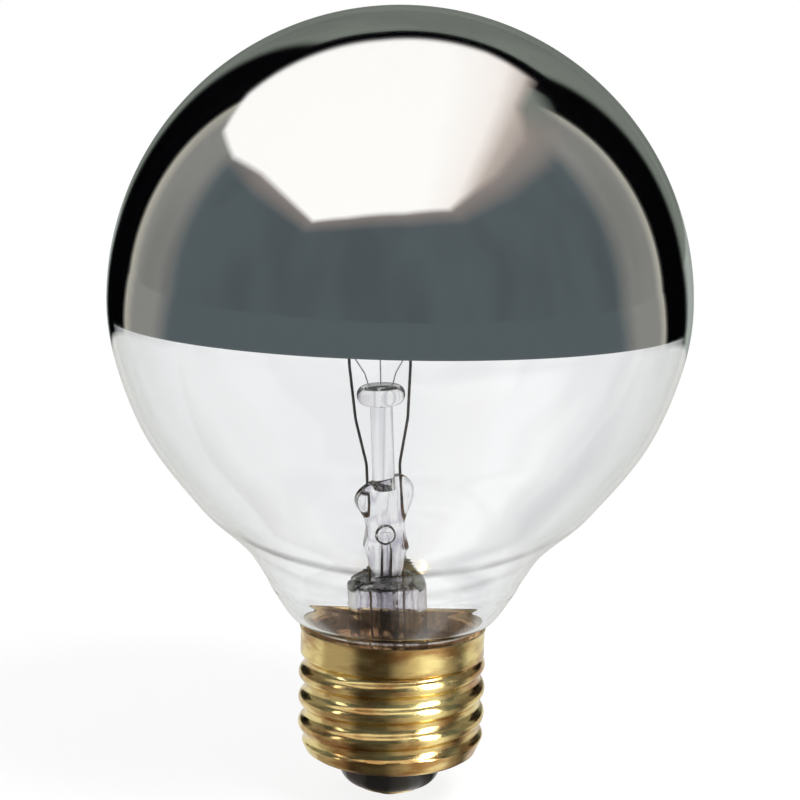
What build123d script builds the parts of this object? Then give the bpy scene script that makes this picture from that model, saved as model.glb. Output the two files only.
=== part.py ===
from build123d import *
from math import cos, hypot, pi, radians, remainder, sin, sqrt, tau
import os

# A silver crown globe lamp: a clear round bulb whose upper half is mirrored inside, on a brass screw cap.
# Millimetres, +Z towards the crown. The origin is the middle of the centre contact's flat.

# Screw cap: a thin brass shell with a rolled knuckle thread that runs out into the skirt and the collar
shell_wall = 0.3
thread_pitch = 3.629
thread_crest_radius = 13.08
thread_arc = 1.191
first_crest_height = 17.4
thread_foot = 9.0
thread_cuts = 7
thread_cut_points = 24
lip_radius = 7.15
lip_height = 4.4
shoulder_inset = 1.78
shoulder_rise = 1.6
collar_inset = 0.23
collar_height = 5.1
collar_bend = 1.3
collar_lip = 0.7
rim_flare = 0.15
rim_height = 24.2
run_out_clear = 0.32
run_out_foot = [(-2.3, -0.8), (0.7, 0.5)]
run_out_start = 0.6
run_out_end = 0.9
run_out_top = (-0.45, 0.6)
dive = 0.4

# Bulb: its neck stands in the collar with room for cement, and its outline swells from the rim to the side
glass_wall = 0.7
neck_gap = 1.35
neck_taper = 0.2
neck_depth = 3.2
globe_radius = 39.7
globe_rise = 45.6
waist_from_rim = [(0.8, 0.2), (3.0, 1.6), (5.8, 5.6), (6.85, 7.6), (9.6, 11.6)]
side_from_middle = [(12.45, 28.0), (4.0, 16.0)]
mirror_film = 0.12
mirror_edge_drop = 2.3

# Foot of the cap
insulator_foot_radius = 4.8
insulator_foot = 1.4
insulator_bulge = (0.55, 1.9)
insulator_top = 6.4
eyelet_radius = 4.5
eyelet_sheet = 0.35
eyelet_bore = 1.0
clinch_radius = 2.3
contact_flat_radius = 1.6
solder_foot_radius = 3.0
solder_bulge = (0.4, 0.35)
solder_fill_top = 3.0
cement_recess = 0.2
side_solder_size = (0.75, 1.7, 1.3)
side_solder_drop = 1.1

# Mount: flare tube, press, exhaust tube and glass rod, all on one axis that leans in the neck
seal_height = 12.0
mount_lean = 3.0
flare_radius = 5.5
flare_wall = 1.1
seal_overlap = 0.05
bell_gap = 0.6
bell_top = 8.0
flare_top = 20.4
flare_shoulder = 1.5
press_twist = 14.0
press_slope = 13.0
press_corner = 1.0
press_sections = [
    (7.4, 6.8, 18.6),
    (5.4, 4.8, 22.0),
    (5.8, 4.7, 24.8),
    (5.4, 4.0, 27.2),
    (8.0, 4.3, 30.2),
    (7.4, 3.8, 31.8),
    (5.0, 2.4, 32.9),
]
exhaust_radius = 1.5
exhaust_bore = 0.8
exhaust_top = 20.5
exhaust_tip = -2.5
tip_length = 2.0
tip_rounding = 1.35
vent_radius = 1.45
vent_height = 25.6
vent_offset = 1.3
rod_radius = 1.55
rod_foot = 31.4
button_radius = 3.35
button_foot = 43.4
button_top = 46.2
button_rounding = 1.3

# Wires
lead_radius = 0.2
seal_wire_radius = 0.2
outer_lead_radius = 0.175
lead_clearance = 0.02
lead_track_gap = 0.4
lead_turn_inset = 3.2
lead_drop = 3.0
lead_end_drop = 1.4
support_radius = 0.1
lead_offset = 2.3
lead_spread = 4.2
seal_wire_foot = 21.5
lead_foot = 29.5
filament_height = 60.0
filament_ring = 9.0
filament_radius = 0.3
clamp_radius = 0.6
clamp_length = 1.6
eye_grip = 0.03
support_angles = (14, 90, 166)
side_lead_angle = 70

# Shapes that only cut or join run this far past what they meet, and a box that cuts is this wide
margin = 1.0
cutter = 120.0

# Worked out from the sizes above
shoulder = (thread_crest_radius - shoulder_inset, lip_height + shoulder_rise)
collar_radius = thread_crest_radius - collar_inset
collar_foot = rim_height - collar_height
collar_straight = (collar_foot + collar_bend, rim_height - collar_lip)
rim_radius = collar_radius + rim_flare
neck_radius = collar_radius - shell_wall - neck_gap
neck_top = rim_height - neck_depth
globe_centre = rim_height + globe_rise
flare_rim_radius = neck_radius + seal_overlap
bell_foot_radius = neck_radius - bell_gap


def turned(line):
    """The solid that a closed outline of radius and height sweeps about the upright axis."""
    return revolve(Plane.XZ * make_face(line), Axis.Z)


def inward(points, depth):
    """A run of points that climbs an outside wall, moved towards the axis by the wall's depth."""
    normals = []
    for (r0, z0), (r1, z1) in zip(points, points[1:]):
        length = hypot(r1 - r0, z1 - z0)
        normals.append(((z0 - z1) / length, (r1 - r0) / length))
    before = [normals[0]] + normals
    after = normals + [normals[-1]]
    moved = []
    for (r, z), (ar, az), (br, bz) in zip(points, before, after):
        reach = depth / (1 + ar * br + az * bz)
        moved.append((r + (ar + br) * reach, z + (az + bz) * reach))
    return moved


def filled(points):
    """The solid under a climbing run of points, closed across to the axis at both ends."""
    return turned(Polyline((0, points[0][1]), *points, (0, points[-1][1]), close=True))


def rod(radius, foot, top):
    """A round upright rod on the axis."""
    return Pos(0, 0, foot) * Cylinder(radius, top - foot, align=(Align.CENTER, Align.CENTER, Align.MIN))


def below(height):
    """Everything under a level."""
    return Pos(0, 0, height) * Box(cutter, cutter, cutter, align=(Align.CENTER, Align.CENTER, Align.MAX))


def above(height):
    """Everything over a level."""
    return Pos(0, 0, height) * Box(cutter, cutter, cutter, align=(Align.CENTER, Align.CENTER, Align.MIN))


def wire(points, radius, bends):
    """Round wire along straight runs joined by arcs."""
    path = FilletPolyline(*points, radius=bends)
    return sweep(Plane(origin=path @ 0, z_dir=path % 0) * Circle(radius), path=path)


# Bulb

def globe_line(depth):
    """Half the bulb's outline from the foot of its neck to its top, moved in by the depth."""
    crown = globe_radius - depth
    neck = [(neck_radius, 0), (neck_radius + neck_taper, neck_top)]
    bowl = [neck[-1]]
    bowl += [(neck_radius + out, rim_height + up) for out, up in waist_from_rim]
    bowl += [(globe_radius - inset, globe_centre - down) for inset, down in side_from_middle]
    bowl += [(globe_radius, globe_centre)]
    middle = (crown, globe_centre)
    side = Spline(*inward(bowl, depth)[:-1], middle, tangents=[(0, 1), (0, 1)], tangent_scalars=[1, 1])
    straight = Line(inward(neck, depth)[0], side @ 0)
    return [straight, side, RadiusArc(middle, (0, globe_centre + crown), -crown)]


def globe_body(depth):
    """The bulb as a filled body."""
    outline = globe_line(depth)
    return turned(outline + [Polyline(outline[-1] @ 1, (0, 0), outline[0] @ 0)])


def globe_wall(outer_depth, inner_depth):
    """A skin of the bulb between two depths."""
    outer = globe_line(outer_depth)
    inner = globe_line(inner_depth)
    closing = [Line(outer[-1] @ 1, inner[-1] @ 1), Line(outer[0] @ 0, inner[0] @ 0)]
    return turned(outer + inner + closing)


def globe_glass():
    """Blown glass, one thin wall from the crown down to the seal inside the cap."""
    return globe_wall(0, glass_wall) - mount_frame * below(0)


def silver_crown():
    """The mirror on the inside of the upper half, thicker than the real vapour coat."""
    return globe_wall(glass_wall, glass_wall + mirror_film) - below(globe_centre - mirror_edge_drop)


# Screw cap

def thread_radius(angle, depth):
    """Distance of the rolled thread from the axis, at an angle from its crest on one level."""
    crest_arc = thread_arc - depth
    root_arc = thread_arc + depth
    crest_centre = thread_crest_radius - thread_arc
    root_centre = crest_centre + sqrt((2 * thread_arc) ** 2 - (thread_pitch / 2) ** 2)
    along = thread_pitch * abs(angle) / tau
    change = thread_pitch / 2 * crest_arc / (crest_arc + root_arc)
    if along < change:
        return crest_centre + sqrt(crest_arc ** 2 - along ** 2)
    return root_centre - sqrt(root_arc ** 2 - (thread_pitch / 2 - along) ** 2)


def threaded_core(depth):
    """Level cuts through the thread, each turned on from the last as the ridge climbs, joined by straight bands."""
    foot = lip_height + dive
    top = collar_straight[0] + margin
    bands = round(thread_cuts * (top - foot) / thread_pitch)
    angles = [tau * step / thread_cut_points for step in range(thread_cut_points)]
    share = [step / thread_cut_points for step in range(thread_cut_points + 1)]
    cuts = []
    for band in range(bands + 1):
        height = foot + (top - foot) * band / bands
        crest = pi + tau * (height - first_crest_height) / thread_pitch
        radii = [thread_radius(remainder(angle - crest, tau), depth) for angle in angles]
        points = [(r * cos(a), r * sin(a), height) for r, a in zip(radii, angles)]
        cuts.append(Wire(Edge.make_spline(points, periodic=True, parameters=share)))
    return Solid.make_loft(cuts, ruled=True)


def shell_body(depth):
    """The cap's sheet as a filled body, its surface moved in by the depth."""
    root = thread_radius(pi, 0)
    under = root - dive
    over = thread_crest_radius + run_out_clear
    skirt = [(lip_radius, lip_height), shoulder, (root + dive / 8, thread_foot), (under, thread_foot + dive)]
    collar = [(under, collar_foot), (collar_radius, collar_straight[0])]
    collar += [(collar_radius, collar_straight[1]), (rim_radius, rim_height)]
    run_out = [(shoulder[0] + out, shoulder[1] + up) for out, up in run_out_foot]
    run_out += [(over, thread_foot + run_out_start), (over, collar_foot - run_out_end)]
    run_out += [(collar_radius + run_out_top[0], collar_straight[0] + run_out_top[1])]
    thread = threaded_core(depth) & filled(inward(run_out, depth))
    return thread + filled(inward(skirt, depth)) + filled(inward(collar, depth))


def screw_shell():
    """Thin brass with the thread rolled in it, so its inside follows its outside."""
    room = shell_body(shell_wall)
    mouth = rod(lip_radius, 0, lip_height + margin)
    return shell_body(0) - room - mouth


def base_insulator():
    """Black glass cast in the foot of the cap, with the eyelet's hole through it."""
    foot = [(0, insulator_foot), (insulator_foot_radius, insulator_foot)]
    bulge = (lip_radius - insulator_bulge[0], lip_height - insulator_bulge[1])
    side = ThreePointArc(foot[1], bulge, (lip_radius, lip_height))
    neck_top_level = lip_height + margin
    neck_line = Polyline((lip_radius, lip_height), (lip_radius, neck_top_level), (0, neck_top_level), *foot)
    inside = shell_body(shell_wall) - below(lip_height) - above(insulator_top)
    hole = rod(eyelet_bore + eyelet_sheet, 0, insulator_top + margin)
    return turned([side, neck_line]) + inside - hole


def contact_eyelet():
    """Pressed brass button with a tube through the insulator, clinched over inside."""
    outer = eyelet_bore + eyelet_sheet
    plate = insulator_foot - eyelet_sheet
    clinch = insulator_top + eyelet_sheet
    outline = Polyline(
        (eyelet_bore, plate),
        (eyelet_radius, plate),
        (eyelet_radius, insulator_foot),
        (outer, insulator_foot),
        (outer, insulator_top),
        (clinch_radius, insulator_top),
        (clinch_radius, clinch),
        (eyelet_bore, clinch),
        close=True,
    )
    return turned(outline)


def centre_solder():
    """Solder that fills the eyelet and stands under it with a worn flat."""
    plate = insulator_foot - eyelet_sheet
    bulge = (solder_foot_radius - solder_bulge[0], solder_bulge[1])
    bead = ThreePointArc((contact_flat_radius, 0), bulge, (solder_foot_radius, plate))
    rest = Polyline(
        (solder_foot_radius, plate),
        (eyelet_bore, plate),
        (eyelet_bore, solder_fill_top),
        (0, solder_fill_top),
        (0, 0),
        (contact_flat_radius, 0),
    )
    return turned([bead, rest])


def basing_cement():
    """Baked cement that holds the neck in the collar."""
    foot = collar_straight[0] + cement_recess
    top = collar_straight[1] - cement_recess
    ring = rod(collar_radius - shell_wall, foot, top)
    return ring - globe_body(0)


def side_solder():
    """Solder over the end of the side lead, outside the collar just under its rim."""
    x, y, z = around(collar_radius, side_lead_angle, rim_height - side_solder_drop)
    bead = Pos(x, y, z) * Rot(0, 0, side_lead_angle) * scale(Sphere(1), by=side_solder_size)
    return bead - shell_body(0) - above(rim_height)


# Mount

mount_frame = Pos(0, 0, seal_height) * Rot(0, -mount_lean, 0)


def in_mount(x, y, height):
    """A point given on the leaning mount's own axis, in the lamp's frame."""
    return (mount_frame * Pos(x, y, height)).position


def around(radius, angle, height):
    """A point on a circle about the lamp's axis."""
    return (radius * cos(radians(angle)), radius * sin(radians(angle)), height)


def flare_outline(depth):
    """Half the flare tube's outline: a bell at its foot, a straight tube and a rounded top."""
    radius, top = flare_radius - depth, flare_top - depth
    bell_reach = bell_foot_radius - flare_radius
    sweep_radius = (bell_reach ** 2 + bell_top ** 2) / (2 * bell_reach) + depth
    centre = radius + sweep_radius
    foot = -depth
    mouth = centre - sqrt(sweep_radius ** 2 - (bell_top - foot) ** 2)
    crown_start = (radius - flare_shoulder, top)
    crown_end = (radius, top - flare_shoulder)
    bell = RadiusArc((radius, bell_top), (mouth, foot), sweep_radius)
    crown = RadiusArc(crown_start, crown_end, flare_shoulder)
    tube = Line(crown_end, (radius, bell_top))
    close = Polyline((mouth, foot), (0, foot), (0, top), crown_start)
    return [bell, close, crown, tube]


def press():
    """The pinched top of the flare tube, two lobes of glass a little twisted, its top leaning."""
    foot = press_sections[0][2]
    top = press_sections[-1][2]
    slices = []
    for width, depth, height in press_sections:
        share = (height - foot) / (top - foot)
        place = Pos(0, 0, height) * Rot(0, -press_slope * share ** 3, 0) * Rot(0, 0, press_twist * share)
        slices.append(place * RectangleRounded(width, depth, press_corner))
    return loft(slices)


def mount_stem():
    """Flare tube and press, one piece of glass sealed to the neck by its rim."""
    rim = rod(flare_rim_radius, -flare_wall, 0)
    hollow = turned(flare_outline(flare_wall))
    stem = turned(flare_outline(0)) + rim - hollow + press()
    socket = rod(exhaust_radius, 0, exhaust_top)
    vent = rod(exhaust_bore, exhaust_top, vent_height) + Pos(0, -vent_offset, vent_height) * Sphere(vent_radius)
    return mount_frame * (stem - socket - vent - rod(rod_radius, rod_foot, button_foot))


def exhaust_tube():
    """Thin tube the lamp was pumped through, its tip melted shut inside the cap."""
    bore = rod(exhaust_bore, exhaust_tip + tip_length, exhaust_top)
    tube = rod(exhaust_radius, exhaust_tip, exhaust_top) - bore
    return mount_frame * fillet(tube.edges().group_by(Axis.Z)[0], tip_rounding)


def glass_rod():
    """Rod that carries the support wires, its tip pressed into a button."""
    button = rod(button_radius, button_foot, button_top)
    button = fillet(button.edges().filter_by(GeomType.CIRCLE), button_rounding)
    return mount_frame * (rod(rod_radius, rod_foot, button_foot + margin) + button)


def filament_end(side):
    """Where the filament meets the lead on this side."""
    reach = sqrt(filament_ring ** 2 - lead_spread ** 2)
    return (side * lead_spread, -reach, filament_height)


def filament_coil():
    """The coil's outer form, an arc from lead to lead round the back."""
    arc = ThreePointArc(filament_end(1), (0, filament_ring, filament_height), filament_end(-1))
    return mount_frame * sweep(Plane(origin=arc @ 0, z_dir=arc % 0) * Circle(filament_radius), path=arc)


def inner_lead(side):
    """Stiff wire from the press up to the filament, with a clamp closed on the coil's end."""
    end = filament_end(side)
    points = [
        (side * lead_offset, 0, lead_foot),
        (side * lead_offset, 0, 35.2),
        (side * 3.6, 0, 41.5),
        (side * lead_spread, 0, 49.0),
        (side * lead_spread, 0, 54.0),
        end,
    ]
    lead = wire(points, lead_radius, [6, 6, 12, 2])
    along = Vector(side * -end[1], lead_spread, 0)
    clamp = Plane(origin=end, z_dir=along) * Cylinder(clamp_radius, clamp_length)
    return mount_frame * (lead + clamp)


def seal_wire(side):
    """Short wire that grips the glass of the press."""
    return mount_frame * Pos(side * lead_offset, 0, 0) * rod(seal_wire_radius, seal_wire_foot, lead_foot)


def centre_lead():
    """Wire from the press down through the eyelet."""
    points = [
        in_mount(-lead_offset, 0, seal_wire_foot),
        in_mount(-lead_offset, 0, 12),
        in_mount(-2.1, 0.5, -1.5),
        (0, 0, insulator_top + 0.4),
        (0, 0, 1.2),
    ]
    return wire(points, outer_lead_radius, [8, 4, 1.5])


def side_lead():
    """Wire from the press round the foot of the neck, up beside it and over the cap's rim."""
    over = rim_height + outer_lead_radius + lead_clearance
    outside = rim_radius + outer_lead_radius + lead_clearance
    rest = collar_radius - shell_wall - outer_lead_radius - lead_clearance
    track = neck_radius + lead_track_gap
    under = seal_height - lead_drop
    points = [
        in_mount(lead_offset, 0, seal_wire_foot),
        in_mount(lead_offset, 0, 9),
        around(neck_radius - lead_turn_inset, side_lead_angle, under),
        around(track, side_lead_angle, under + 0.4),
        around(track, side_lead_angle, collar_foot + 0.4),
        around(rest, side_lead_angle, collar_straight[0] + 1.6),
        around(rest, side_lead_angle, over),
        around(outside, side_lead_angle, over),
        around(outside, side_lead_angle, rim_height - lead_end_drop),
    ]
    return wire(points, outer_lead_radius, [6, 2, 0.8, 2, 2, 0.3, 0.3])


def support_wire(angle):
    """Thin wire from the button out to the filament, ending in an eye round the coil."""
    eye_ring = filament_radius + support_radius - eye_grip
    low = (1.4, 0, button_top - 1.2)
    bend = (2.2, 0, button_top + 1.5)
    high = (filament_ring - 0.3, 0, filament_height - 2.0)
    under = (filament_ring, 0, filament_height - eye_ring)
    stalk = wire([low, bend, high, under], support_radius, [1.0, 0.8])
    eye = Pos(filament_ring, 0, filament_height) * Rot(90, 0, 0) * Torus(eye_ring, support_radius)
    return mount_frame * Rot(0, 0, angle) * (stalk + eye)


# Every piece is seated by cutting it with the pieces that pass through it

def build_pieces():
    """All the lamp's pieces by name."""
    sides = {"left": -1, "right": 1}
    filament = filament_coil()
    pieces = {"globe_glass": globe_glass(), "silver_crown": silver_crown()}
    leads = {}
    for name, side in sides.items():
        leads["inner_lead_" + name] = inner_lead(side) - filament
        leads["seal_wire_" + name] = seal_wire(side)
    leads["centre_lead"] = centre_lead()
    leads["side_lead"] = side_lead()
    supports = {}
    for number, angle in enumerate(support_angles, start=1):
        supports["support_wire_" + str(number)] = support_wire(angle) - filament
    pieces["mount_stem"] = mount_stem() - list(leads.values())
    pieces["exhaust_tube"] = exhaust_tube()
    pieces["glass_rod"] = glass_rod() - list(supports.values())
    pieces["filament_coil"] = filament
    pieces["screw_shell"] = screw_shell()
    pieces["base_insulator"] = base_insulator()
    pieces["contact_eyelet"] = contact_eyelet()
    pieces["centre_solder"] = centre_solder() - leads["centre_lead"]
    pieces["basing_cement"] = basing_cement() - leads["side_lead"]
    pieces["side_solder"] = side_solder() - leads["side_lead"]
    return pieces | leads | supports


os.makedirs("parts", exist_ok=True)
for piece_name, piece in build_pieces().items():
    export_step(piece, "parts/" + piece_name + ".step")
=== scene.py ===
# %% [markdown]
# A globe lamp with a mirrored crown, lit in a small white studio. The measured solids arrive first,
# because every piece made here has to sit where they say. Lengths are metres, +Z points to the crown, and
# the camera stands on the -Y side.

# %% Load the measured lamp
import math

import bmesh
import bpy
from mathutils import Matrix, Vector
from mathutils.geometry import interpolate_bezier


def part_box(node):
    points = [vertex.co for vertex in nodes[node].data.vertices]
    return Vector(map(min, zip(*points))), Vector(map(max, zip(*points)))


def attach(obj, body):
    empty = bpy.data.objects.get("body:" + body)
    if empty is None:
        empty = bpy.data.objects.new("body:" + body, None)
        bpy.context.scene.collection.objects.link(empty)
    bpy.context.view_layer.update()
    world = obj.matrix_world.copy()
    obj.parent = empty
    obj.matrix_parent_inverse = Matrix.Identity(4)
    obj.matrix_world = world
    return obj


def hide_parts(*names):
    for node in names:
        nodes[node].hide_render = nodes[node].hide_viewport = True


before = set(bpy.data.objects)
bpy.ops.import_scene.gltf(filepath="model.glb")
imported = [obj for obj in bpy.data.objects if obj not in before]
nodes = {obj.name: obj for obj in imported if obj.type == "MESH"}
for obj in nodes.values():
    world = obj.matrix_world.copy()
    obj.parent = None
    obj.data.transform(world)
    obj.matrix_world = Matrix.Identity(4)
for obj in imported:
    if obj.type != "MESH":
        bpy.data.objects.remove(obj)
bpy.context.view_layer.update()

# %% [markdown]
# Most sizes of a lamp are easier to think of in millimetres, so one small number turns them into metres.
# The globe's own sizes are read from its solid's box, and only the shape of the neck is written out.

# %% Sizes that several pieces share
MM = 0.001
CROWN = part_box("globe_glass")[1].z
GLOBE_RADIUS = (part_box("globe_glass")[1].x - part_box("globe_glass")[0].x) / 2
GLOBE_CENTRE = CROWN - GLOBE_RADIUS
GLASS_WALL = 0.7 * MM
SILVER_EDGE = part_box("silver_crown")[0].z
CAP_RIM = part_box("screw_shell")[1].z
print("globe radius in mm:", round(GLOBE_RADIUS / MM, 2), "silver edge at mm:", round(SILVER_EDGE / MM, 2))

# %% [markdown]
# Three helpers make meshes. One turns a bmesh into an object that rides with the lamp. The next spins an
# outline about the upright axis, as a lathe or a glass blower would. The last draws a smooth line through
# a few points.

# %% Mesh helpers
SHARP = math.radians(40)


def keep_piece(name, bm, material, *stands_for):
    """Turns a bmesh into an object that rides with the lamp, smooth but for its real corners."""
    mesh = bpy.data.meshes.new(name)
    bm.normal_update()
    for face in bm.faces:
        face.smooth = True
    for edge in bm.edges:
        edge.smooth = edge.calc_face_angle(0) < SHARP
    bm.to_mesh(mesh)
    bm.free()
    piece = bpy.data.objects.new(name, mesh)
    bpy.context.collection.objects.link(piece)
    mesh.materials.append(material)
    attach(piece, "root")
    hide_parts(*stands_for)
    print(name, "faces:", len(mesh.polygons))
    return piece


def spin_outline(points, steps):
    """A skin of revolution. The points are radius and height, from the bottom up."""
    bm = bmesh.new()
    verts = [bm.verts.new((r, 0, z)) for r, z in points]
    for a, b in zip(verts, verts[1:]):
        bm.edges.new((a, b))
    bmesh.ops.spin(
        bm, geom=bm.verts[:] + bm.edges[:], cent=(0, 0, 0), axis=(0, 0, 1),
        angle=math.tau, steps=steps, use_merge=True, use_duplicate=False,
    )
    bmesh.ops.remove_doubles(bm, verts=bm.verts[:], dist=0.001 * MM)
    bmesh.ops.recalc_face_normals(bm, faces=bm.faces[:])
    return bm


def smooth_run(points, pieces, first, last):
    """A smooth line through points, as short Bezier pieces with handles from each point's neighbours."""
    flat = [Vector((r, z, 0)) for r, z in points]
    tangents = [Vector((*first, 0))]
    for before, after in zip(flat, flat[2:]):
        tangents.append((after - before).normalized())
    tangents.append(Vector((*last, 0)))
    run = []
    for a, b, ta, tb in zip(flat, flat[1:], tangents, tangents[1:]):
        reach = (b - a).length / 3
        run += interpolate_bezier(a, a + ta * reach, b - tb * reach, b, pieces)[:-1]
    return [(p.x, p.y) for p in run + [flat[-1]]]


# %% [markdown]
# Every finish starts from one Principled shader. The first helper makes the material and hands back its
# nodes, and the others add nodes and join them, so that each finish below only says what is special
# about it.

# %% Material helpers
def new_finish(name, colour=(0.8, 0.8, 0.8), **values):
    material = bpy.data.materials.new(name)
    material.use_nodes = True
    shader = material.node_tree.nodes["Principled BSDF"]
    shader.inputs["Base Color"].default_value = (*colour, 1)
    for socket, value in values.items():
        shader.inputs[socket.replace("_", " ")].default_value = value
    return material, material.node_tree, shader


def add_node(tree, kind, **settings):
    node = tree.nodes.new(kind)
    for key, value in settings.items():
        setattr(node, key, value)
    return node


def add_ramp(tree, source, stops):
    """Turns a value from 0 to 1 into a colour. A stop is a place on that way and its colour."""
    ramp = add_node(tree, "ShaderNodeValToRGB")
    while len(ramp.color_ramp.elements) < len(stops):
        ramp.color_ramp.elements.new(0.5)
    for element, (place, colour) in zip(ramp.color_ramp.elements, sorted(stops)):
        element.position = place
        element.color = (*colour, 1)
    tree.links.new(source, ramp.inputs[0])
    return ramp.outputs["Color"]


def grey(value):
    return (value, value, value)


def join(tree, source, socket):
    """Feeds a socket from another one, or sets it where it gets a plain value."""
    if isinstance(source, bpy.types.NodeSocket):
        tree.links.new(source, socket)
    else:
        socket.default_value = source


def mix_colours(tree, share, first, second, blend_type="MIX"):
    mixed = add_node(tree, "ShaderNodeMix", data_type="RGBA", blend_type=blend_type)
    join(tree, share, mixed.inputs["Factor"])
    join(tree, first, mixed.inputs["A"])
    join(tree, second, mixed.inputs["B"])
    return mixed.outputs["Result"]


def fade_between(tree, value, start, end):
    """0 where the value is at its start, 1 where it is at its end."""
    fade = add_node(tree, "ShaderNodeMapRange")
    fade.inputs["From Min"].default_value = start
    fade.inputs["From Max"].default_value = end
    tree.links.new(value, fade.inputs["Value"])
    return fade.outputs["Result"]


def place_parts(tree):
    """The X, Y and Z of a point on the piece, each as a value."""
    place = add_node(tree, "ShaderNodeTexCoord")
    parts = add_node(tree, "ShaderNodeSeparateXYZ")
    tree.links.new(place.outputs["Object"], parts.inputs["Vector"])
    return parts.outputs


def add_noise(tree, scale, detail=3.0, stretch=(1, 1, 1)):
    place = add_node(tree, "ShaderNodeTexCoord")
    mapping = add_node(tree, "ShaderNodeMapping")
    mapping.inputs["Scale"].default_value = stretch
    noise = add_node(tree, "ShaderNodeTexNoise")
    noise.inputs["Scale"].default_value = scale
    noise.inputs["Detail"].default_value = detail
    tree.links.new(place.outputs["Object"], mapping.inputs["Vector"])
    tree.links.new(mapping.outputs["Vector"], noise.inputs["Vector"])
    return noise.outputs["Fac"]


def add_bump(tree, shader, height, strength, distance):
    bump = add_node(tree, "ShaderNodeBump")
    bump.inputs["Strength"].default_value = strength
    bump.inputs["Distance"].default_value = distance
    tree.links.new(height, bump.inputs["Height"])
    tree.links.new(bump.outputs["Normal"], shader.inputs["Normal"])


# %% [markdown]
# A blown globe isn't one even sheet. Two darker lines bend round the front of its waist: painted shade,
# standing for the dark lines that refraction shows there, and the clear part looks a little cooler than
# the white behind it. The lines lie in a sloping plane, so a dot product with the plane's direction tells
# how far a point is above it, and a ramp draws the lines there. A ramp holds only 256 steps from 0 to 1,
# so the metres are scaled up first, to let a line be half a millimetre.

# %% Paint the shade lines on the waist of the globe
FINE = 20
WAIST_SLOPE = -0.358
# The dips of this ramp are the painted shade lines of the waist.
PAINTED_WAIST_SHADE = [
    (0.77, grey(1)), (0.804, grey(0.7)), (0.83, grey(1)),
    (0.87, grey(1)), (0.888, grey(0.2)), (0.896, grey(0.24)), (0.925, grey(1)),
]
COOL_GLASS = (0.968, 0.976, 0.983, 1)


def paint_waist_shade(tree, glass_tint_and_shade):
    """Adds the waist's painted shade lines on the front, uneven along their way, and the cool bare glass."""
    place = add_node(tree, "ShaderNodeTexCoord")
    above = add_node(tree, "ShaderNodeVectorMath", operation="DOT_PRODUCT")
    above.inputs[1].default_value = (0, WAIST_SLOPE * FINE, FINE)
    tree.links.new(place.outputs["Object"], above.inputs[0])
    painted_shade_lines = add_ramp(tree, above.outputs["Value"], PAINTED_WAIST_SHADE)
    parts = place_parts(tree)
    ahead = add_node(tree, "ShaderNodeMath", operation="MULTIPLY")
    ahead.inputs[1].default_value = -FINE
    tree.links.new(parts["Y"], ahead.inputs[0])
    front = add_ramp(tree, ahead.outputs["Value"], [(0.12, grey(0)), (0.32, grey(1))])
    uneven = add_ramp(tree, add_noise(tree, 90, 2.0), [(0.35, grey(0.35)), (0.6, grey(1))])
    where = add_node(tree, "ShaderNodeMath", operation="MULTIPLY")
    tree.links.new(front, where.inputs[0])
    tree.links.new(uneven, where.inputs[1])
    waist_shaded = mix_colours(tree, where.outputs["Value"], glass_tint_and_shade, painted_shade_lines, "MULTIPLY")
    bare = fade_between(tree, parts["Z"], SILVER_EDGE, SILVER_EDGE - 1.0 * MM)
    return mix_colours(tree, bare, waist_shaded, COOL_GLASS, "MULTIPLY")


# %% [markdown]
# The press and the rod are glass that was melted and drawn, which leaves cords: streaks of slightly
# darker glass. They are two narrow dips in a noise that is stretched along the mount.

# %% Cords in the drawn glass
CORDS = [
    (0.38, grey(1)), (0.44, (0.52, 0.49, 0.56)), (0.5, grey(1)),
    (0.57, grey(1)), (0.6, (0.62, 0.58, 0.66)), (0.64, grey(1)),
]


def corded_tint(tree, glass_tint_and_shade, stretch):
    noise = add_noise(tree, 170, 2.0, (1.8, 1.8, stretch))
    return mix_colours(tree, 1, glass_tint_and_shade, add_ramp(tree, noise, CORDS), "MULTIPLY")


# %% [markdown]
# Clear glass is a Principled shader with full transmission. Lamps can't shine through it by themselves,
# so rays that only ask for shadow pass through a Transparent shader instead. The tint darkens where the
# surface turns away: painted shade, for the darker look of a glass edge.

# %% Clear glass
def glass_finish(name, edge, start, ripple, waist=False, cords=0):
    material, tree, shader = new_finish(name, Roughness=0.0, IOR=1.5, Transmission_Weight=1.0)
    facing = add_node(tree, "ShaderNodeLayerWeight")
    # Painted shade: the base colour goes darker as the surface turns from the camera.
    glass_tint_and_shade = add_ramp(tree, facing.outputs["Facing"], [(0.0, grey(1.0)), (start, grey(0.985)), (1.0, edge)])
    # The globe gets painted shade lines on its waist.
    if waist:
        glass_tint_and_shade = paint_waist_shade(tree, glass_tint_and_shade)
    if cords:
        glass_tint_and_shade = corded_tint(tree, glass_tint_and_shade, cords)
    tree.links.new(glass_tint_and_shade, shader.inputs["Base Color"])
    add_bump(tree, shader, add_noise(tree, 60, 1.0), ripple, 0.3 * MM)
    path = add_node(tree, "ShaderNodeLightPath")
    clear = add_node(tree, "ShaderNodeBsdfTransparent")
    choose = add_node(tree, "ShaderNodeMixShader")
    out = tree.nodes["Material Output"]
    tree.links.new(path.outputs["Is Shadow Ray"], choose.inputs["Fac"])
    tree.links.new(shader.outputs["BSDF"], choose.inputs[1])
    tree.links.new(clear.outputs["BSDF"], choose.inputs[2])
    tree.links.new(choose.outputs["Shader"], out.inputs["Surface"])
    return material


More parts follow.
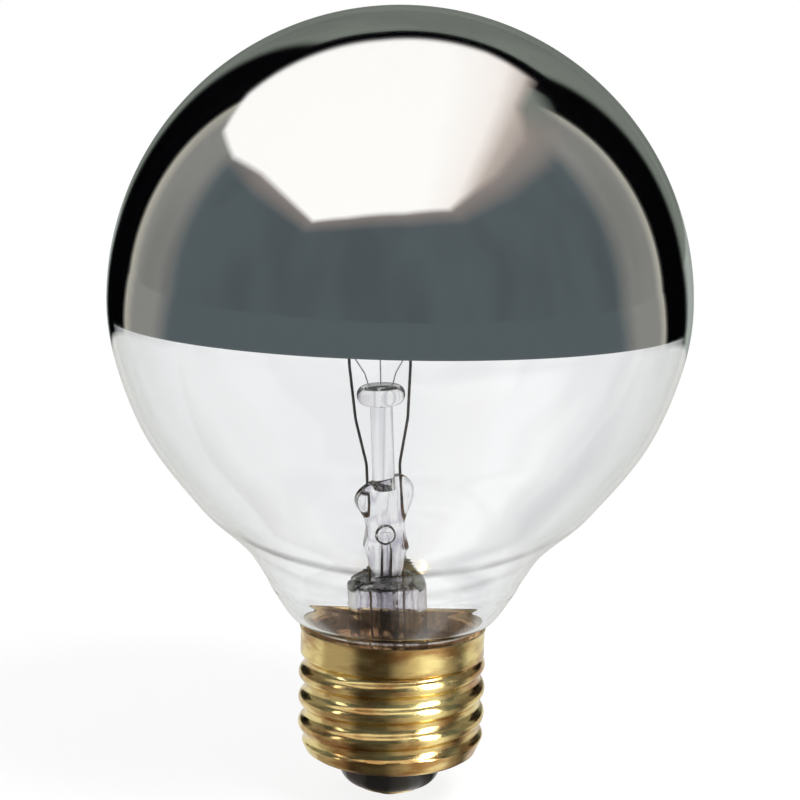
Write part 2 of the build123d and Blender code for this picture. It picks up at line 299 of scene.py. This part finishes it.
# The edge colours below are painted shade at the edges of the glass.
globe_finish = glass_finish("globe clear glass", (0.3, 0.33, 0.34), 0.84, 0.02, waist=True)
stem_finish = glass_finish("stem drawn glass", (0.1, 0.09, 0.13), 0.6, 0.3, cords=0.5)
rod_finish = glass_finish("drawn rod glass", (0.1, 0.09, 0.13), 0.6, 0.3, cords=0.03)
print("glass finishes:", globe_finish.name, stem_finish.name, rod_finish.name, sep=", ")

# %% [markdown]
# The globe is blown in a mould: a true sphere above, then a bowl that draws in to a waist and swells over
# the rim. An outline spun about the axis gives the outside, and Solidify gives the wall. The outline's
# upper part is an arc and its lower part a smooth run through the heights where the shape changes.

# %% Blow the globe
GLOBE_STEPS = 160
ARC_STEPS = 64
BOWL_STEPS = 12
BOWL = [
    (11.2, 11.45), (11.4, 21.0), (12.0, 24.4), (14.2, 25.8), (17.0, 29.8), (18.05, 31.8),
    (20.8, 35.8), (27.25, 41.8), (35.7, 53.8), (39.7, 69.8),
]


def globe_outline(depth):
    """Radius and height of the globe's skin, at a depth below its outside."""
    run = [(r * MM, z * MM) for r, z in BOWL]
    side = smooth_run(run, BOWL_STEPS, (0, 1), (0, 1))
    arc = []
    for step in range(1, ARC_STEPS + 1):
        angle = math.pi / 2 * step / ARC_STEPS
        arc.append((GLOBE_RADIUS * math.cos(angle), GLOBE_CENTRE + GLOBE_RADIUS * math.sin(angle)))
    centre = Vector((0, GLOBE_CENTRE))
    line = []
    for r, z in side + arc:
        inward = (centre - Vector((r, z))).normalized() * depth
        line.append((max(r + inward.x, 0), z + inward.y))
    return line


bm = spin_outline(globe_outline(0), GLOBE_STEPS)
bmesh.ops.solidify(bm, geom=bm.faces[:], thickness=GLASS_WALL)
globe = keep_piece("blown_globe", bm, globe_finish, "globe_glass")

# %% [markdown]
# The silver is a vapour coat on the inside of the upper half. A real one is far too thin to model, so
# here it is a second skin just inside the glass, bright from both sides. It ends in a clean level edge
# below the middle.

# %% Silver the crown
COAT_GAP = 0.03 * MM
COAT = 0.08 * MM
silver_finish, tree, shader = new_finish("vapour silver", (0.86, 0.865, 0.86), Metallic=1.0, Roughness=0.03)
haze = add_ramp(tree, add_noise(tree, 35, 2.0), [(0.3, grey(0.02)), (0.8, grey(0.06))])
tree.links.new(haze, shader.inputs["Roughness"])

bm = spin_outline(globe_outline(GLASS_WALL + COAT_GAP), GLOBE_STEPS)
bmesh.ops.bisect_plane(
    bm, geom=bm.verts[:] + bm.edges[:] + bm.faces[:],
    plane_co=(0, 0, SILVER_EDGE), plane_no=(0, 0, -1), clear_outer=True,
)
bmesh.ops.solidify(bm, geom=bm.faces[:], thickness=COAT)
silver = keep_piece("silver_coat", bm, silver_finish, "silver_crown")

# %% [markdown]
# Brass that has been rolled and handled is bright but not even. Slow noise shifts its colour between
# yellow and a redder brown, and fine noise stretched round the cap stands for the marks of rolling.

# %% Brass
def brass_finish(name, low, high):
    material, tree, shader = new_finish(name, Metallic=1.0, Roughness=0.2)
    tone = add_ramp(tree, add_noise(tree, 150, 5.0, (1, 1, 3)), [(0.38, low), (0.6, high)])
    tree.links.new(tone, shader.inputs["Base Color"])
    wear = add_ramp(tree, add_noise(tree, 420, 4.0, (1, 1, 3)), [(0.3, grey(0.13)), (0.75, grey(0.3))])
    tree.links.new(wear, shader.inputs["Roughness"])
    add_bump(tree, shader, add_noise(tree, 600, 3.0, (1, 1, 2)), 0.15, 0.1 * MM)
    return material


shell_finish = brass_finish("rolled brass", (0.47, 0.27, 0.10), (0.90, 0.73, 0.32))
eyelet_finish = brass_finish("pressed brass", (0.66, 0.45, 0.18), (0.82, 0.63, 0.3))

# %% [markdown]
# Inside, the oven that bakes the cement leaves the brass dull and brown. A band at the rim is painted
# bright gold, a painted highlight that makes the golden line behind the neck.

# %% Baked brass, with a painted highlight at the rim
# Painted highlight: the top band of the inner wall turns bright gold.
PAINTED_RIM_HIGHLIGHT = (0.95, 0.75, 0.42, 1)
baked_brass_with_painted_highlight, tree, shader = new_finish("baked brass with painted rim highlight", Metallic=0.6, Roughness=0.55)
stained = add_ramp(tree, add_noise(tree, 260, 4.0), [(0.3, (0.45, 0.24, 0.1)), (0.7, (0.9, 0.58, 0.3))])
rim_highlight_share = fade_between(tree, place_parts(tree)["Z"], CAP_RIM - 1.2 * MM, CAP_RIM - 0.7 * MM)
tree.links.new(mix_colours(tree, rim_highlight_share, stained, PAINTED_RIM_HIGHLIGHT), shader.inputs["Base Color"])

# %% [markdown]
# The cap is one sheet of thin brass. A wheel rolls the thread into it, so the inside follows the outside.
# Here a plain tube is spun first, with many rows, and every point is then pushed in or out to where the
# rolled sheet would be. The thread is arcs tangent to each other, climbing one pitch a turn, and it runs
# out into the collar above and the skirt below. The sizes here are millimetres, as on a drawing of the
# cap.

# %% Roll the screw cap
THREAD_PITCH = 3.629
CREST_RADIUS = 13.08
THREAD_ARC = 1.191
FIRST_CREST = 17.4
SHEET = 0.3
ROW = 0.15
CAP_STEPS = 192
BLANK_RADIUS = 12
SOFT = 0.12
SKIRT = [(7.15, 4.4), (11.3, 6.0), (12.29, 9.0), (11.84, 9.4)]
COLLAR = [(11.84, 19.1), (12.85, 20.4), (12.85, 23.5), (13.0, 24.2)]
RUN_OUT = [(9.0, 5.2), (12.0, 6.5), (13.4, 9.6), (13.4, 18.2), (12.4, 21.0)]


def along_line(points, height):
    """The radius at a height on a line that climbs through the points, and 0 above and below it."""
    for (r0, z0), (r1, z1) in zip(points, points[1:]):
        if z0 <= height <= z1:
            return r0 + (r1 - r0) * (height - z0) / (z1 - z0)
    return 0


def thread_radius(angle, height):
    """The radius of an endless knuckle thread: crest and root arcs that touch at mid height."""
    crest_centre = CREST_RADIUS - THREAD_ARC
    root_centre = crest_centre + math.sqrt((2 * THREAD_ARC) ** 2 - (THREAD_PITCH / 2) ** 2)
    crest = FIRST_CREST + THREAD_PITCH * (angle - math.pi) / math.tau
    away = abs(math.remainder(height - crest, THREAD_PITCH))
    if away < THREAD_PITCH / 4:
        return crest_centre + math.sqrt(THREAD_ARC ** 2 - away ** 2)
    return root_centre - math.sqrt(THREAD_ARC ** 2 - (THREAD_PITCH / 2 - away) ** 2)


def soft_max(a, b):
    """The larger of two radii, with their crossing rounded off."""
    return (a + b + math.sqrt((a - b) ** 2 + SOFT ** 2)) / 2


def cap_radius(angle, height):
    """The thread, held in by the run-outs, or skirt and collar where they stand further out."""
    sheet = max(along_line(SKIRT, height), along_line(COLLAR, height))
    limit = along_line(RUN_OUT, height)
    if limit == 0:
        return sheet
    thread = -soft_max(-thread_radius(angle, height), -limit)
    return soft_max(thread, sheet) if sheet else thread


foot, rim = SKIRT[0][1], COLLAR[-1][1]
rows = round((rim - foot) / ROW)
heights = [foot + (rim - foot) * row / rows for row in range(rows + 1)]
bm = spin_outline([(BLANK_RADIUS * MM, height * MM) for height in heights], CAP_STEPS)
for vert in bm.verts:
    angle = math.atan2(vert.co.y, vert.co.x)
    reach = cap_radius(angle, vert.co.z / MM) * MM
    vert.co.x, vert.co.y = reach * math.cos(angle), reach * math.sin(angle)
bmesh.ops.solidify(bm, geom=bm.faces[:], thickness=SHEET * MM)
bm.normal_update()
for face in bm.faces:
    middle = face.calc_center_median()
    towards_axis = face.normal.x * middle.x + face.normal.y * middle.y < 0
    face.material_index = 1 if towards_axis else 0
cap = keep_piece("rolled_cap", bm, shell_finish, "screw_shell")
# The inner faces get the baked brass with its painted rim highlight.
cap.data.materials.append(baked_brass_with_painted_highlight)

# %% [markdown]
# The small pieces keep their measured solids and only need their own finishes. Black glass and cement are
# set one by one. Every metal is two close tones mottled by noise, with a slight bump.

# %% Black glass, cement, solder and wires
black_finish, tree, shader = new_finish("black glass", (0.012, 0.011, 0.01), Roughness=0.12, IOR=1.52)
add_bump(tree, shader, add_noise(tree, 300, 2.0), 0.1, 0.1 * MM)

cement_finish, tree, shader = new_finish("baked cement", Roughness=0.8)
grain = add_noise(tree, 900, 5.0)
grainy = add_ramp(tree, grain, [(0.3, (0.5, 0.28, 0.13)), (0.7, (1.0, 0.66, 0.38))])
tree.links.new(grainy, shader.inputs["Base Color"])
add_bump(tree, shader, grain, 0.5, 0.2 * MM)


def metal_finish(name, low, high, rough, scale):
    material, tree, shader = new_finish(name, Metallic=1.0, Roughness=rough)
    mottle = add_noise(tree, scale, 3.0)
    tree.links.new(add_ramp(tree, mottle, [(0.3, low), (0.7, high)]), shader.inputs["Base Color"])
    add_bump(tree, shader, mottle, 0.15, 0.05 * MM)
    return material


solder_finish = metal_finish("tin solder", (0.42, 0.42, 0.43), (0.68, 0.68, 0.7), 0.35, 500)
nickel_finish = metal_finish("nickel wire", (0.16, 0.155, 0.15), (0.3, 0.29, 0.28), 0.35, 900)
copper_finish = metal_finish("copper-clad wire", (0.45, 0.2, 0.12), (0.62, 0.33, 0.2), 0.35, 900)
lead_finish = metal_finish("tinned copper wire", (0.35, 0.24, 0.17), (0.55, 0.42, 0.32), 0.4, 900)
support_finish = metal_finish("support wire", (0.75, 0.75, 0.76), (0.88, 0.88, 0.88), 0.5, 900)
support_finish.node_tree.nodes["Principled BSDF"].inputs["Metallic"].default_value = 0.25
tungsten_finish = metal_finish("tungsten coil", (0.2, 0.2, 0.21), (0.34, 0.34, 0.35), 0.45, 1500)

finishes = {
    "mount_stem": stem_finish, "exhaust_tube": stem_finish, "glass_rod": rod_finish,
    "contact_eyelet": eyelet_finish, "base_insulator": black_finish,
    "centre_solder": solder_finish, "side_solder": solder_finish, "basing_cement": cement_finish,
    "inner_lead_left": nickel_finish, "inner_lead_right": nickel_finish,
    "seal_wire_left": copper_finish, "seal_wire_right": copper_finish,
    "centre_lead": lead_finish, "side_lead": lead_finish,
    "support_wire_1": support_finish, "support_wire_2": support_finish, "support_wire_3": support_finish,
}
for name, finish in finishes.items():
    slots = nodes[name].data.materials
    slots.clear()
    slots.append(finish)
print("solids with a finish of their own:", len(finishes))

# %% [markdown]
# The filament is a fine coil of wire bent into an arc. Its solid only shows the room it takes up, so the
# turns are drawn here as a curve: a small circle that walks along the arc, with a round bevel for the
# wire. It hangs on the mount, which leans a little in its seal, so the arc is placed in the mount's own
# leaning space.

# %% Wind the filament
ARC_RADIUS = 9.0
ARC_HEIGHT = 60.0
ARC_END = 4.2
COIL_RADIUS = 0.21
WIRE_RADIUS = 0.06
TURNS = 120
STEPS_A_TURN = 10
LEAN_OF_MOUNT = math.radians(3.0)
SEAL_HEIGHT = 12.0
mount = Matrix.Translation((0, 0, SEAL_HEIGHT * MM)) @ Matrix.Rotation(-LEAN_OF_MOUNT, 4, "Y")

half_gap = math.asin(ARC_END / ARC_RADIUS)
curve = bpy.data.curves.new("filament", "CURVE")
curve.dimensions = "3D"
curve.bevel_depth = WIRE_RADIUS * MM
curve.bevel_resolution = 1
path = curve.splines.new("POLY")
count = TURNS * STEPS_A_TURN
path.points.add(count)
for step, point in enumerate(path.points):
    share = step / count
    along = -math.pi / 2 + half_gap + share * (math.tau - 2 * half_gap)
    round_wire = math.tau * share * TURNS
    reach = ARC_RADIUS + COIL_RADIUS * math.cos(round_wire)
    height = ARC_HEIGHT + COIL_RADIUS * math.sin(round_wire)
    spot = mount @ Vector((reach * math.cos(along) * MM, reach * math.sin(along) * MM, height * MM))
    point.co = (*spot, 1)
coil = bpy.data.objects.new("wound_filament", curve)
bpy.context.collection.objects.link(coil)
curve.materials.append(tungsten_finish)
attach(coil, "root")
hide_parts("filament_coil")
print("filament turns:", TURNS)

# %% [markdown]
# The studio is white wherever the camera looks. What the mirror and the brass show is another matter: a
# slate room in front, pale walls at the sides, two black flags behind them and a grey wall at the back.
# The world paints that room by compass direction, and soft folds of cloth keep the walls from being flat.

# %% Paint the room
FRONT = (0.098, 0.12, 0.13)
SIDE = (0.27, 0.268, 0.252)
PALE = (0.52, 0.5, 0.43)
FLAG = (0.001, 0.001, 0.0015)
BACK = (0.21, 0.235, 0.205)
WHITE = (0.78, 0.78, 0.75)
CLOTH_FOLDS = (2.6, 2.6, 0.7)


def compass(degrees):
    """The place on a round ramp of a direction, in degrees to the right of the camera's side."""
    return (0.25 + degrees / 360) % 1.0


world = bpy.data.worlds.new("studio")
bpy.context.scene.world = world
world.use_nodes = True
tree = world.node_tree
room = tree.nodes["Background"]
place = add_node(tree, "ShaderNodeTexCoord")
around = add_node(tree, "ShaderNodeTexGradient", gradient_type="RADIAL")
tree.links.new(place.outputs["Generated"], around.inputs["Vector"])
WALLS = [
    (-161, BACK), (-157, FLAG), (-130.5, FLAG), (-129.5, PALE), (-122, SIDE), (-106, SIDE), (-95, FRONT),
    (90, FRONT), (101, SIDE), (116, SIDE), (121, PALE), (122, FLAG), (144.5, FLAG), (148, BACK),
]
walls = add_ramp(tree, around.outputs["Fac"], [(compass(angle), colour) for angle, colour in WALLS])
hanging = add_node(tree, "ShaderNodeMapping")
hanging.inputs["Scale"].default_value = CLOTH_FOLDS
cloth = add_node(tree, "ShaderNodeTexNoise")
cloth.inputs["Scale"].default_value = 1.0
tree.links.new(place.outputs["Generated"], hanging.inputs["Vector"])
tree.links.new(hanging.outputs["Vector"], cloth.inputs["Vector"])
folds = add_ramp(tree, cloth.outputs["Fac"], [(0.38, grey(0.84)), (0.6, grey(1))])
folded = mix_colours(tree, 1, walls, folds, "MULTIPLY")
parts = add_node(tree, "ShaderNodeSeparateXYZ")
tree.links.new(place.outputs["Generated"], parts.inputs["Vector"])
ceiling = add_ramp(tree, parts.outputs["Z"], [(0.70, grey(0)), (0.78, grey(1))])
tree.links.new(mix_colours(tree, ceiling, folded, (*BACK, 1)), room.inputs["Color"])

# %% [markdown]
# Which of its faces the world shows depends on the ray. The camera and everything seen through clear
# glass get white, a ray that a mirror has thrown back gets the painted room, and the light on matt things
# is plain grey. Glossy Depth counts the mirrors on a ray's way, so it also knows a mirrored ray that has
# left through the glass.

# %% Show each ray its room
white = add_node(tree, "ShaderNodeBackground")
white.inputs["Color"].default_value = (1, 1, 1, 1)
soft = add_node(tree, "ShaderNodeBackground")
soft.inputs["Color"].default_value = (0.75, 0.75, 0.75, 1)


def ray_shares(tree):
    """1 for a ray that looks straight or through glass, and 1 for a ray that was mirrored on its way."""
    path = add_node(tree, "ShaderNodeLightPath")
    seen = add_node(tree, "ShaderNodeMath", operation="MAXIMUM")
    tree.links.new(path.outputs["Is Camera Ray"], seen.inputs[0])
    tree.links.new(path.outputs["Is Transmission Ray"], seen.inputs[1])
    mirrored = add_node(tree, "ShaderNodeMath", operation="GREATER_THAN")
    mirrored.inputs[1].default_value = 0.5
    tree.links.new(path.outputs["Glossy Depth"], mirrored.inputs[0])
    return seen.outputs["Value"], mirrored.outputs["Value"]


def choose_shader(tree, share, first, second):
    choice = add_node(tree, "ShaderNodeMixShader")
    tree.links.new(share, choice.inputs["Fac"])
    tree.links.new(first, choice.inputs[1])
    tree.links.new(second, choice.inputs[2])
    return choice.outputs["Shader"]


seen, mirrored = ray_shares(tree)
plain = choose_shader(tree, seen, soft.outputs["Background"], white.outputs["Background"])
sky = choose_shader(tree, mirrored, plain, room.outputs["Background"])
tree.links.new(sky, tree.nodes["World Output"].inputs["Surface"])
print("room painted for mirrored rays")

# %% [markdown]
# A big soft box hangs over the lamp, nearly square with its front corners cut. It is a card seen only in
# reflections, while lamps light the matt pieces. A wider, dim card above it is its glow on the ceiling,
# and a black card between the two is the dark gap behind it. The rim of each card fades: an inset gives
# the rim its own ring of faces, and an attribute runs from 0 at the outer edge to 1 at the inner one.

# %% Hang the soft box
def stage_card(name, corners, height, colour_stops, strength, soft_rim):
    """A glowing sheet that only mirrors see. It fades out in its rim and changes colour to the right."""
    bm = bmesh.new()
    rim = bm.verts.layers.float.new("rim")
    face = bm.faces.new([bm.verts.new((x * height, y * height, height + GLOBE_CENTRE)) for x, y in corners])
    face.normal_update()
    bmesh.ops.inset_individual(bm, faces=[face], thickness=soft_rim * height, use_even_offset=True)
    for vert in face.verts:
        vert[rim] = 1
    bmesh.ops.triangulate(bm, faces=bm.faces[:])
    material = bpy.data.materials.new(name)
    material.use_nodes = True
    tree = material.node_tree
    tree.nodes.clear()
    glow = add_node(tree, "ShaderNodeEmission")
    tree.links.new(add_ramp(tree, place_parts(tree)["X"], colour_stops), glow.inputs["Color"])
    glow.inputs["Strength"].default_value = strength
    clear = add_node(tree, "ShaderNodeBsdfTransparent")
    from_rim = add_node(tree, "ShaderNodeAttribute", attribute_name="rim")
    out = add_node(tree, "ShaderNodeOutputMaterial")
    faded = choose_shader(tree, from_rim.outputs["Fac"], clear.outputs["BSDF"], glow.outputs["Emission"])
    tree.links.new(faded, out.inputs["Surface"])
    mesh = bpy.data.meshes.new(name)
    bm.to_mesh(mesh)
    bm.free()
    mesh.materials.append(material)
    card = bpy.data.objects.new(name, mesh)
    bpy.context.collection.objects.link(card)
    card.visible_camera = False
    card.visible_diffuse = False
    card.visible_shadow = False
    return card


BOX_HEIGHT = 1.1
BOX_CORNERS = [
    (-1.20, 0.62), (-0.84, 0.79), (-0.10, 0.73), (0.35, 0.80), (0.66, 0.74), (0.64, 0.22),
    (0.80, -0.04), (0.74, -0.52), (0.48, -1.13), (0.03, -1.26), (-0.56, -1.29), (-1.02, -1.24),
    (-1.14, -0.28), (-1.28, 0.16),
]
REAR_CORNERS = [
    (-1.02, 0.84), (-1.04, 0.98), (-0.8, 1.02), (-0.1, 0.92), (0.4, 1.0), (0.95, 1.0),
    (1.0, 0.7), (0.5, 0.5), (0.3, 0.6), (-0.1, 0.55), (-0.8, 0.68),
]
GLOW_CORNERS = [
    (-1.38, 0.3), (-0.6, 0.4), (0.5, 0.3), (1.05, 0.5), (1.12, -0.1), (1.0, -0.7),
    (0.7, -1.3), (0.1, -1.5), (-0.7, -1.52), (-1.25, -1.42), (-1.42, -0.4),
]
BOX_FADE = [
    (0.2, (1.0, 0.985, 0.965)), (0.5, (0.93, 0.87, 0.83)),
    (0.66, (0.5, 0.43, 0.39)), (0.85, (0.3, 0.25, 0.23)),
]
WARM_GLOW = [(0, (1, 0.86, 0.8)), (1, (1, 0.86, 0.8))]
stage_card("soft_box", BOX_CORNERS, BOX_HEIGHT, BOX_FADE, 1.15, 0.09)
stage_card("glow_card", GLOW_CORNERS, BOX_HEIGHT + 0.04, WARM_GLOW, 0.3, 0.34)
stage_card("rear_flag", REAR_CORNERS, BOX_HEIGHT + 0.02, [(0, FLAG), (1, FLAG)], 1.0, 0.04)
print("cards hung at", BOX_HEIGHT, "m above the globe's middle")

# %% [markdown]
# The floor is white to the camera. A touch of real shading stays in it near the lamp, so that the lamp
# throws a faint shadow, and it fades to pure white further out. This cell makes that part.

# %% Lay the floor
FLOOR_SIDE = 6.0
bm = bmesh.new()
bmesh.ops.create_grid(bm, x_segments=1, y_segments=1, size=FLOOR_SIDE / 2)
mesh = bpy.data.meshes.new("floor")
bm.to_mesh(mesh)
bm.free()
floor = bpy.data.objects.new("floor", mesh)
bpy.context.collection.objects.link(floor)
floor_finish, tree, shader = new_finish("white floor", grey(0.85), Roughness=0.9)
mesh.materials.append(floor_finish)
glow = add_node(tree, "ShaderNodeEmission")
glow.inputs["Color"].default_value = (1, 1, 1, 1)
seen, mirrored = ray_shares(tree)
place = add_node(tree, "ShaderNodeTexCoord")
from_lamp = add_node(tree, "ShaderNodeVectorMath", operation="LENGTH")
tree.links.new(place.outputs["Object"], from_lamp.inputs[0])
fade = add_ramp(tree, from_lamp.outputs["Value"], [(0.1, grey(0.86)), (0.4, grey(1))])
share = add_node(tree, "ShaderNodeMath", operation="MULTIPLY")
tree.links.new(seen, share.inputs[0])
tree.links.new(fade, share.inputs[1])
lit = choose_shader(tree, share.outputs["Value"], shader.outputs["BSDF"], glow.outputs["Emission"])
print("floor side in m:", FLOOR_SIDE)

# %% [markdown]
# In the brass the floor is a round table whose colours change with the compass: dark in front, where the
# brass needs its dark bands, bright at the right and white behind. Beyond the table the room's walls go
# on, so that no white strip shows along the mirror's edge.

# %% Lay the table that the brass sees
TABLE_RADIUS = 0.26
TABLE_SHIFT = 0.11
TABLE_EDGE = 0.03
WARM = (0.42, 0.37, 0.33)
DIM = (0.08, 0.075, 0.065)
GOLDEN = (0.7, 0.62, 0.5)
BRIGHT = (1.0, 1.0, 0.95)
HORIZON = (0.4, 0.44, 0.41)
TABLE = [
    (-150, WHITE), (-100, WHITE), (-80, WARM), (-50, WARM), (-38, DIM), (-5, DIM), (12, WARM),
    (30, GOLDEN), (38, BRIGHT), (56, BRIGHT), (66, WARM), (88, DIM), (105, WHITE), (150, WHITE),
]
shift = add_node(tree, "ShaderNodeVectorMath", operation="SUBTRACT")
shift.inputs[1].default_value = (0, TABLE_SHIFT, 0)
tree.links.new(place.outputs["Object"], shift.inputs[0])
reach = add_node(tree, "ShaderNodeVectorMath", operation="LENGTH")
tree.links.new(shift.outputs["Vector"], reach.inputs[0])
far = add_ramp(tree, reach.outputs["Value"], [(TABLE_RADIUS, grey(0)), (TABLE_RADIUS + TABLE_EDGE, grey(1))])
around = add_node(tree, "ShaderNodeTexGradient", gradient_type="RADIAL")
tree.links.new(place.outputs["Object"], around.inputs["Vector"])
beyond = add_ramp(tree, around.outputs["Fac"], [
    (compass(angle), HORIZON if colour == BACK else colour) for angle, colour in WALLS
])
near = add_ramp(tree, around.outputs["Fac"], [(compass(angle), colour) for angle, colour in TABLE])
table_glow = add_node(tree, "ShaderNodeEmission")
tree.links.new(near, table_glow.inputs["Color"])
beyond_glow = add_node(tree, "ShaderNodeEmission")
tree.links.new(beyond, beyond_glow.inputs["Color"])
shown = choose_shader(tree, far, table_glow.outputs["Emission"], beyond_glow.outputs["Emission"])
top = choose_shader(tree, mirrored, lit, shown)
tree.links.new(top, tree.nodes["Material Output"].inputs["Surface"])
print("table radius in m:", TABLE_RADIUS)

# %% [markdown]
# Two lamps light the matt pieces and the floor: a key from the right front and a weak fill from the left.
# Both stay out of mirrors and glass, which have the soft box to show.

# %% Light it
LIT_SPOT = Vector((0, 0, 30 * MM))


def hang_lamp(name, compass_degrees, height_degrees, distance, size, power):
    """A square lamp that faces the lit spot from a compass direction, a height and a distance."""
    lamp = bpy.data.lights.new(name, "AREA")
    lamp.size = size
    lamp.energy = power
    holder = bpy.data.objects.new(name, lamp)
    bpy.context.collection.objects.link(holder)
    a, e = math.radians(compass_degrees), math.radians(height_degrees)
    away = Vector((math.sin(a) * math.cos(e), -math.cos(a) * math.cos(e), math.sin(e)))
    holder.location = LIT_SPOT + away * distance
    holder.rotation_mode = "QUATERNION"
    holder.rotation_quaternion = away.to_track_quat("Z", "Y")
    return holder


key = hang_lamp("key", compass_degrees=47, height_degrees=56, distance=0.9, size=0.3, power=9)
fill = hang_lamp("fill", compass_degrees=-50, height_degrees=35, distance=1.2, size=0.6, power=3)
for lamp in (key, fill):
    lamp.visible_glossy = False
    lamp.visible_transmission = False
print("key and fill in W:", key.data.energy, fill.data.energy)

# %% [markdown]
# Rolled brass is read by its highlights. Two tall strips shine on the brass alone, by light linking, so
# that each ridge of the thread carries a bright spot to the right of its middle and a fainter one at the
# left.

# %% Strip lights for the brass
brass_pieces = bpy.data.collections.new("brass_pieces")
for piece in (cap, nodes["contact_eyelet"]):
    brass_pieces.objects.link(piece)


def hang_strip(name, compass_degrees, height_degrees, distance, width, height, power):
    strip = hang_lamp(name, compass_degrees, height_degrees, distance, width, power)
    strip.data.shape = "RECTANGLE"
    strip.data.size_y = height
    strip.light_linking.receiver_collection = brass_pieces
    return strip


hang_strip("right_strip", 48, 12, 0.7, 0.12, 1.0, 13)
hang_strip("left_strip", -70, 8, 0.8, 0.1, 0.5, 0.6)

# %% [markdown]
# The camera is where the photograph was taken from: close, a little above, and leaning by about a degree.

# %% Place the camera
LENS = 95.35
SENSOR = 36
DISTANCE = 287.08 * MM
EYE_HEIGHT = 105.05 * MM
DOWN = math.radians(9.68)
TURN = math.radians(0.058)
LEAN = math.radians(1.3)
ahead = Vector((math.sin(TURN) * math.cos(DOWN), math.cos(TURN) * math.cos(DOWN), -math.sin(DOWN)))
level_right = Vector((math.cos(TURN), -math.sin(TURN), 0))
level_up = level_right.cross(ahead)
right = level_right * math.cos(LEAN) + level_up * math.sin(LEAN)
up = level_up * math.cos(LEAN) - level_right * math.sin(LEAN)
camera = bpy.data.objects.new("camera", bpy.data.cameras.new("camera"))
bpy.context.collection.objects.link(camera)
camera.data.lens = LENS
camera.data.sensor_width = SENSOR
camera.data.clip_start = 0.01
camera.data.clip_end = 50
turn = Matrix((right, up, -ahead)).transposed().to_4x4()
camera.matrix_world = Matrix.Translation((0, -DISTANCE, EYE_HEIGHT)) @ turn
bpy.context.scene.camera = camera
bpy.context.scene.view_settings.view_transform = "Standard"
print("camera at", tuple(round(v, 3) for v in camera.location))
